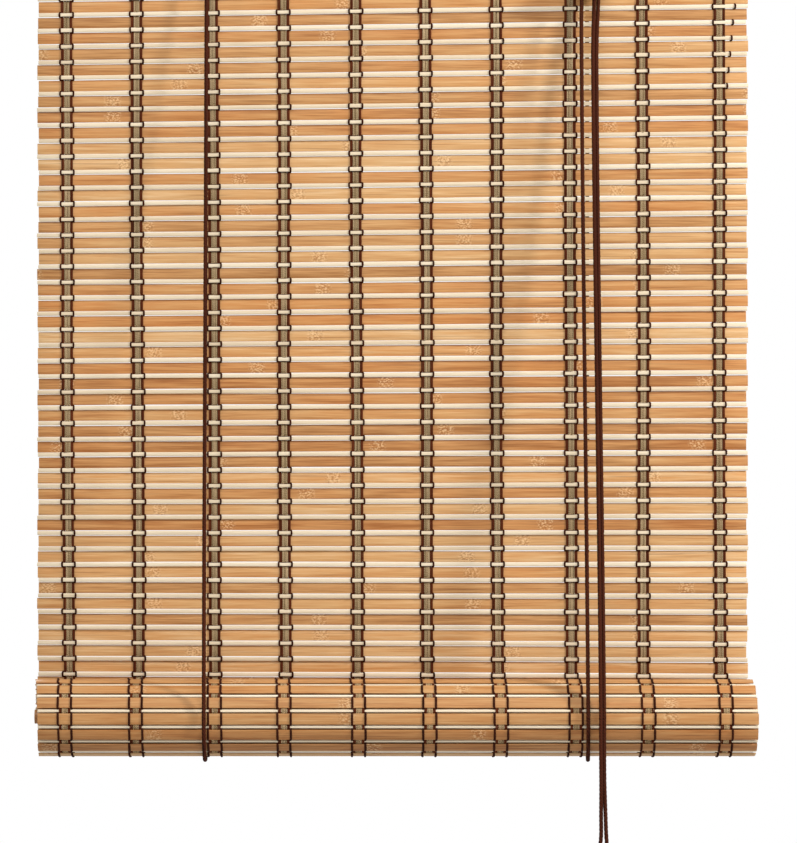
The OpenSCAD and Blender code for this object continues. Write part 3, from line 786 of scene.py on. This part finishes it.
mat_lines = {"brown": [], "olive": [], "binder": [], "cross": []}
for band in range(BAND_COUNT):
    for k, dx in enumerate(BAND_THREADS):
        line = []
        jitter = dice.uniform(-0.12, 0.12)
        for row in range(FLAT_ROWS):
            x = band_x(band) + dx + jitter + band_drift(band, row) + dice.uniform(-0.1, 0.1)
            lean = math.tan(row_tilt(row)) * x
            line.append((x, MAT_FRONT_Y - 0.42, slat_z(row) + 3.2 + lean))
            line.append((x, MAT_FRONT_Y - 0.42, slat_z(row) - 3.2 + lean))
            line.append((x, MAT_FRONT_Y - 0.2 + 1.2 * stick_sink(row), stick_z(row) + lean))
        mat_lines["brown" if k in BROWN else "olive"].append(line)
    for side in (-1, 1):
        line = []
        for row in range(FLAT_ROWS):
            x = band_x(band) + side * BINDER_X + band_drift(band, row) + dice.uniform(-0.25, 0.25)
            if band == BAND_COUNT - 1 and side == 1:
                x += LOOSE_BINDER * max(0, 1 - row / LOOSE_ROWS)
            lean = math.tan(row_tilt(row)) * x
            z, w = slat_z(row) + lean, stick_z(row) + lean
            back, over = MAT_BACK_Y + 0.35, MAT_BACK_Y - mat_t - 0.3 + stick_sink(row)
            line += [
                (x - side * 0.5, back, z + 4.0), (x - side * 0.5, back, z - 4.0),
                (x - side * 0.2, MAT_FRONT_Y - 0.3, z - 5), (x, over + 0.7, w + 1.55),
                (x + side * 0.1, over, w + 1.1), (x + side * 0.1, over, w - 1.1),
                (x, over + 0.7, w - 1.55), (x - side * 0.2, MAT_FRONT_Y - 0.3, w - 1.7),
            ]
        mat_lines["binder"].append(line)
    for row in range(FLAT_ROWS):
        x = band_x(band) + band_drift(band, row)
        for up in (-1, 1):
            line = []
            for k in range(-2, 3):
                at = x + k * (BINDER_X - 0.4) / 2
                rise = up * (CROSS_RISE + dice.uniform(-0.08, 0.08))
                z = stick_z(row) + math.tan(row_tilt(row + 0.5)) * at + rise
                line.append((at, MAT_BACK_Y - mat_t + 0.45 + stick_sink(row), z))
            mat_lines["cross"].append(line)
mat_brown = thread_curves("mat_brown_threads", mat_lines["brown"], THREAD_R)
mat_olive = thread_curves("mat_olive_threads", mat_lines["olive"], THREAD_R)
mat_binder = thread_curves("mat_binder_threads", mat_lines["binder"], BINDER_R)
mat_cross = thread_curves("mat_cross_threads", mat_lines["cross"], CROSS_R)
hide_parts("thread_bands")
print("mat threads", [len(p.data.polygons) for p in (mat_brown, mat_olive, mat_binder, mat_cross)])

# %% Everything of the flat mat goes on the head's body, with a mesh of its own
for piece in (flat_slats, flat_sticks, mat_brown, mat_olive, mat_binder, mat_cross):
    squash_run(piece)

# %% Threads of the roll
ROLL_BAND_ROWS = 17
ROLL_BAND_OFFSET = [1.8, -0.2, 4.5, 1.3, 2.6, 0.7, -0.9, 0.5, -0.2, 3.6]
ROLL_DRIFT_SHARE = 0.6
roll_lines = {"brown": [], "olive": [], "binder": []}


def on_roll(x, depth, length):
    a = spiral_angle(length)
    y, z = around(spiral_r(a) - depth, a)
    return (x, y, z)


for band in range(BAND_COUNT):
    middle = band_x(band) + ROLL_BAND_OFFSET[band]
    for k, dx in enumerate(BAND_THREADS):
        line = []
        for cell in range(ROLL_BAND_ROWS):
            at = ROLL_START + cell * ROW_PITCH
            drift = ROLL_DRIFT_SHARE * (roll_drift(spiral_angle(at)) - ROLL_SHIFT)
            x = middle + dx + drift + dice.uniform(-0.15, 0.15)
            line.append(on_roll(x, SLAT_T + 0.3, at))
            line.append(on_roll(x, SLAT_T + 0.25, at + 4.7))
            line.append(on_roll(x, 0.35, at + ROW_PITCH / 2 - 0.9))
            line.append(on_roll(x, 0.35, at + ROW_PITCH / 2 + 0.9))
            line.append(on_roll(x, SLAT_T + 0.25, at + ROW_PITCH - 4.7))
        roll_lines["brown" if k in BROWN else "olive"].append(line)
    for side in (-1, 1):
        line = []
        for cell in range(ROLL_BAND_ROWS):
            at = ROLL_START + cell * ROW_PITCH
            drift = ROLL_DRIFT_SHARE * (roll_drift(spiral_angle(at)) - ROLL_SHIFT)
            x = middle + side * BINDER_X + drift + dice.uniform(-0.3, 0.3)
            line += [
                on_roll(x, -0.45, at - 3.6), on_roll(x, -0.33, at), on_roll(x, -0.45, at + 3.6),
                on_roll(x, 0.1, at + 4.7), on_roll(x, 2.2, at + 5.4),
                on_roll(x, 3.4, at + ROW_PITCH / 2), on_roll(x, 2.2, at + ROW_PITCH - 5.4),
                on_roll(x, 0.1, at + ROW_PITCH - 4.7),
            ]
        roll_lines["binder"].append(line)
roll_brown = thread_curves("roll_brown_threads", roll_lines["brown"], THREAD_R)
roll_olive = thread_curves("roll_olive_threads", roll_lines["olive"], THREAD_R)
roll_binder = thread_curves("roll_binder_threads", roll_lines["binder"], ROLL_BINDER_R)
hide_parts("roll_bands")
for piece in (roll_brown, roll_olive, roll_binder):
    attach(piece, "roll")
print("roll threads", [len(p.data.polygons) for p in (roll_brown, roll_olive, roll_binder)])

# %% [markdown]
# ## Finishes
# Every finish is made of nodes. A colour is written as it looks on a screen and turned into the linear
# value that the shader wants. A shared group gives fine fibres that run along one axis: noise that is
# stretched along X, in a coarse and a fine layer.


# %% Finish tools
def tone(r, g, b):
    """A screen colour, from 0 to 255, as a linear colour."""
    def linear(c):
        c /= 255
        return c / 12.92 if c <= 0.04045 else ((c + 0.055) / 1.055) ** 2.4
    return (linear(r), linear(g), linear(b), 1)


class Finish:
    """A material and short words for its nodes."""

    def __init__(self, name):
        self.material = bpy.data.materials.new(name)
        self.material.use_nodes = True
        self.tree = self.material.node_tree
        self.shader = self.tree.nodes["Principled BSDF"]

    def add(self, kind, **values):
        made = self.tree.nodes.new("ShaderNode" + kind)
        for key, value in values.items():
            setattr(made, key, value)
        return made

    def join(self, a, b):
        self.tree.links.new(a, b)

    def math(self, operation, a, b=None):
        made = self.add("Math", operation=operation)
        for socket, value in zip(made.inputs, (a, b)):
            if value is None:
                continue
            if isinstance(value, (int, float)):
                socket.default_value = value
            else:
                self.join(value, socket)
        return made.outputs[0]

    def weigh(self, a, share_a, b, share_b):
        """Two values added up, each times its own share."""
        return self.math("ADD", self.math("MULTIPLY", a, share_a), self.math("MULTIPLY", b, share_b))

    def mix(self, share, a, b, blend="MIX"):
        made = self.add("Mix", data_type="RGBA", blend_type=blend)
        for socket, value in zip((made.inputs[0], made.inputs[6], made.inputs[7]), (share, a, b)):
            if isinstance(value, (int, float, tuple)):
                socket.default_value = value
            else:
                self.join(value, socket)
        return made.outputs[2]

    def attribute(self, name):
        return self.add("Attribute", attribute_name=name).outputs["Fac"]

    def noise(self, scale, detail=2, stretch=(1, 1, 1)):
        place = self.add("TexCoord")
        mapping = self.add("Mapping")
        mapping.inputs["Scale"].default_value = stretch
        made = self.add("TexNoise")
        made.inputs["Scale"].default_value = scale
        made.inputs["Detail"].default_value = detail
        self.join(place.outputs["Object"], mapping.inputs["Vector"])
        self.join(mapping.outputs[0], made.inputs["Vector"])
        return made.outputs["Fac"]

    def ramp(self, value, stops):
        made = self.add("ValToRGB")
        while len(made.color_ramp.elements) < len(stops):
            made.color_ramp.elements.new(0.5)
        for element, (at, colour) in zip(made.color_ramp.elements, stops):
            element.position = at
            element.color = colour
        self.join(value, made.inputs[0])
        return made.outputs[0]

    def bump(self, height, strength, distance):
        made = self.add("Bump")
        made.inputs["Strength"].default_value = strength
        made.inputs["Distance"].default_value = distance
        self.join(height, made.inputs["Height"])
        self.join(made.outputs[0], self.shader.inputs["Normal"])

    def put_on(self, *pieces):
        for piece in pieces:
            piece.data.materials.clear()
            piece.data.materials.append(self.material)


def fibre_group():
    """Fibres along X: a coarse streak and a fine one, each from 0 to 1."""
    group = bpy.data.node_groups.new("bamboo_fibres", "ShaderNodeTree")
    for name in ("Coarse", "Fine"):
        group.interface.new_socket(name=name, in_out="OUTPUT", socket_type="NodeSocketFloat")
    for name, start in (("Coarse Scale", 180.0), ("Fine Scale", 900.0)):
        socket = group.interface.new_socket(name=name, in_out="INPUT", socket_type="NodeSocketFloat")
        socket.default_value = start
    inside = group.nodes.new("NodeGroupInput")
    outside = group.nodes.new("NodeGroupOutput")
    place = group.nodes.new("ShaderNodeTexCoord")
    for name, stretch in (("Coarse", 0.05), ("Fine", 0.02)):
        mapping = group.nodes.new("ShaderNodeMapping")
        mapping.inputs["Scale"].default_value = (stretch, 1, 1)
        noise = group.nodes.new("ShaderNodeTexNoise")
        noise.inputs["Detail"].default_value = 3
        group.links.new(place.outputs["Object"], mapping.inputs["Vector"])
        group.links.new(mapping.outputs[0], noise.inputs["Vector"])
        group.links.new(inside.outputs[name + " Scale"], noise.inputs["Scale"])
        group.links.new(noise.outputs["Fac"], outside.inputs[name])
    return group


fibres = fibre_group()


def add_fibres(finish, coarse, fine):
    made = finish.add("Group", node_tree=fibres)
    made.inputs["Coarse Scale"].default_value = coarse
    made.inputs["Fine Scale"].default_value = fine
    return made.outputs["Coarse"], made.outputs["Fine"]


print("finish tools ready")

# %% [markdown]
# ### Split bamboo
# Slats run from honey to orange and pale tan, each in its own tint, with streaks along their length and
# a speckled joint mark at every length of cane. The tint picks a place on a ramp, the streaks move it
# up and down, broad patches turn it from orange to tan, thin dark fibres lie over it, and the joint mark
# is a patch of pale and dark specks that comes back along the slat from its own starting place. On the
# roll the slats get painted shade, a darker colour, apart from the rows at its top.

# %% Slat finish
BLACK, WHITE = (0, 0, 0, 1), (1, 1, 1, 1)
# Painted shade: the colour that the roll's slats are multiplied by.
ROLL_PAINTED_SHADE = (0.86, 0.85, 0.83, 1)
JOINT_EVERY, JOINT_FADE = 0.27, 120
slat_finish = Finish("split_bamboo")
coarse, fine = add_fibres(slat_finish, 330, 1300)
patch = slat_finish.noise(30, 2, (0.5, 1, 1))
tint = slat_finish.attribute("tint")
warmth = slat_finish.attribute("warmth")
streak = slat_finish.weigh(coarse, 0.55, fine, 0.45)
level = slat_finish.math("SUBTRACT", slat_finish.weigh(tint, 0.58, streak, 1.9), 0.76)
orange = slat_finish.ramp(level, [
    (0.0, tone(162, 95, 42)), (0.35, tone(200, 134, 74)),
    (0.65, tone(212, 153, 93)), (1.0, tone(228, 184, 132)),
])
tan = slat_finish.ramp(level, [
    (0.0, tone(160, 108, 58)), (0.35, tone(200, 147, 92)),
    (0.65, tone(214, 167, 112)), (1.0, tone(230, 192, 144)),
])
tan_level = slat_finish.weigh(patch, 0.8, warmth, 0.6)
body = slat_finish.mix(slat_finish.ramp(tan_level, [(0.35, BLACK), (0.95, WHITE)]), orange, tan)
thin_dark = slat_finish.noise(900, 1, (0.012, 1, 1))
thin_dark = slat_finish.ramp(thin_dark, [(0.62, BLACK), (0.74, WHITE)])
body = slat_finish.mix(slat_finish.math("MULTIPLY", thin_dark, 0.45), body, tone(140, 92, 52))
where = slat_finish.add("SeparateXYZ")
slat_finish.join(slat_finish.add("TexCoord").outputs["Object"], where.inputs[0])
along = slat_finish.math("SUBTRACT", where.outputs["X"], slat_finish.attribute("mark_x"))
along = slat_finish.math("FLOORED_MODULO", along, JOINT_EVERY)
away = slat_finish.math("ABSOLUTE", slat_finish.math("SUBTRACT", along, JOINT_EVERY / 2))
near = slat_finish.math("SUBTRACT", 1, slat_finish.math("MULTIPLY", away, JOINT_FADE))
near = slat_finish.math("MAXIMUM", near, 0)
near = slat_finish.math("MINIMUM", slat_finish.math("MULTIPLY", near, 2), 1)
speckle = slat_finish.noise(950, 2, (0.55, 1, 1))
pale_spot = slat_finish.math("MULTIPLY", slat_finish.math("GREATER_THAN", speckle, 0.55), near)
dark_spot = slat_finish.math("MULTIPLY", slat_finish.math("LESS_THAN", speckle, 0.43), near)
body = slat_finish.mix(slat_finish.math("MULTIPLY", pale_spot, 0.5), body, tone(246, 212, 164))
body = slat_finish.mix(slat_finish.math("MULTIPLY", dark_spot, 0.45), body, tone(140, 80, 36))
# Painted shade on the roll: the slat colour is multiplied darker wherever the painted-light flag is set,
# which leaves out the rows at the top of the roll.
back = slat_finish.mix(1.0, body, ROLL_PAINTED_SHADE, "MULTIPLY")
body = slat_finish.mix(slat_finish.attribute("rolled"), body, back)
slat_finish.join(body, slat_finish.shader.inputs["Base Color"])
slat_rough = slat_finish.math("ADD", slat_finish.math("MULTIPLY", fine, 0.25), 0.42)
slat_finish.join(slat_rough, slat_finish.shader.inputs["Roughness"])
slat_finish.shader.inputs["Specular IOR Level"].default_value = 0.35
slat_finish.bump(streak, 0.35, 0.0004)
slat_finish.put_on(flat_slats, roll_slats)

# %% [markdown]
# ### Pale sticks
# The sticks are cut from the pale inside of the cane and take no stain: cream, nearly white where they
# catch light, with thin tan fibres. On the roll they get a painted highlight, a paler colour.

# %% Stick finish
stick_finish = Finish("pale_stick")
coarse, fine = add_fibres(stick_finish, 300, 1400)
stick_level = stick_finish.weigh(stick_finish.attribute("tint"), 0.4, fine, 0.6)
# Painted highlight: on the roll the painted-light flag moves the sticks up the ramp to a paler colour.
stick_level = stick_finish.math(
    "ADD", stick_level, stick_finish.math("MULTIPLY", stick_finish.attribute("rolled"), 0.3)
)
stick_body = stick_finish.ramp(stick_level, [
    (0.1, tone(208, 183, 149)), (0.5, tone(229, 209, 177)), (0.9, tone(241, 226, 199)),
])
stick_finish.join(stick_body, stick_finish.shader.inputs["Base Color"])
stick_rough = stick_finish.math("ADD", stick_finish.math("MULTIPLY", coarse, 0.2), 0.4)
stick_finish.join(stick_rough, stick_finish.shader.inputs["Roughness"])
stick_finish.bump(fine, 0.25, 0.0003)
stick_finish.put_on(flat_sticks, roll_sticks)

# %% [markdown]
# ### Threads and cord
# The threads are spun: a fine slanting twist shows as light and dark, and each thread of a band takes
# its own depth of dye. The cord is dyed dark brown, with loose fibres that soften its gloss.


# %% Thread and cord finishes
def spun_finish(name, dark, light, twist):
    finish = Finish(name)
    wave = finish.add("TexWave", wave_type="BANDS", bands_direction="DIAGONAL")
    wave.inputs["Scale"].default_value = twist
    wave.inputs["Distortion"].default_value = 2.5
    finish.join(finish.add("TexCoord").outputs["Object"], wave.inputs["Vector"])
    fuzz = finish.noise(1500, 2)
    level = finish.weigh(wave.outputs["Fac"], 0.55, fuzz, 0.45)
    lane = finish.noise(620, 1, (1, 0.01, 0.01))
    level = finish.weigh(level, 0.55, lane, 0.5)
    finish.join(finish.ramp(level, [(0.32, dark), (0.72, light)]), finish.shader.inputs["Base Color"])
    finish.shader.inputs["Roughness"].default_value = 0.85
    finish.shader.inputs["Specular IOR Level"].default_value = 0.1
    finish.bump(level, 0.5, 0.0003)
    return finish


brown_finish = spun_finish("brown_thread", tone(50, 18, 6), tone(112, 54, 28), 420)
olive_finish = spun_finish("olive_thread", tone(104, 82, 46), tone(208, 180, 140), 420)
binder_finish = spun_finish("binder_thread", tone(28, 10, 4), tone(70, 30, 14), 420)
cord_finish = spun_finish("brown_cord", tone(34, 13, 6), tone(84, 38, 20), 260)
brown_finish.put_on(mat_brown, roll_brown)
olive_finish.put_on(mat_olive, roll_olive)
binder_finish.put_on(mat_binder, mat_cross, roll_binder)
cord_finish.put_on(*cords)

# %% [markdown]
# ### Wood, steel and brass
# The head is planed softwood with grain along its length, the rod and knob are turned wood with a thin
# oil, and the fittings are zinc-plated steel and turned brass with small scratches.


# %% Wood, steel and brass finishes
def wood_finish(name, dark, light, coarse_scale, gloss):
    finish = Finish(name)
    coarse, fine = add_fibres(finish, coarse_scale, coarse_scale * 5)
    level = finish.weigh(coarse, 0.7, fine, 0.3)
    finish.join(finish.ramp(level, [(0.25, dark), (0.75, light)]), finish.shader.inputs["Base Color"])
    rough = finish.math("ADD", finish.math("MULTIPLY", fine, 0.25), gloss)
    finish.join(rough, finish.shader.inputs["Roughness"])
    finish.bump(level, 0.3, 0.0004)
    return finish


def metal_finish(name, dark, light, rough):
    finish = Finish(name)
    cloud = finish.noise(90, 4)
    scratch = finish.noise(700, 2, (1, 1, 0.06))
    level = finish.weigh(cloud, 0.6, scratch, 0.4)
    finish.join(finish.ramp(level, [(0.3, dark), (0.7, light)]), finish.shader.inputs["Base Color"])
    finish.shader.inputs["Metallic"].default_value = 1.0
    worn = finish.math("ADD", finish.math("MULTIPLY", scratch, 0.25), rough)
    finish.join(worn, finish.shader.inputs["Roughness"])
    finish.bump(scratch, 0.15, 0.0002)
    return finish


head_finish = wood_finish("planed_head", tone(176, 126, 76), tone(216, 172, 118), 120, 0.42)
turned_finish = wood_finish("turned_wood", tone(160, 104, 58), tone(206, 154, 98), 200, 0.32)
steel_finish = metal_finish("zinc_steel", tone(150, 150, 148), tone(196, 196, 192), 0.25)
brass_finish = metal_finish("turned_brass", tone(176, 140, 72), tone(214, 180, 108), 0.22)
by_slot = {
    "head_wood": head_finish,
    "turned_wood": turned_finish,
    "steel": steel_finish,
    "brass": brass_finish,
}
for row in frame["record"]["subparts"]:
    finish = by_slot.get(row["material_slot"])
    node = nodes[row["node"]]
    if finish and not node.hide_render:
        finish.put_on(node)
turned_finish.put_on(knob)
print("finishes", len(bpy.data.materials))

# %% Clear the selection
bpy.ops.object.select_all(action="DESELECT")
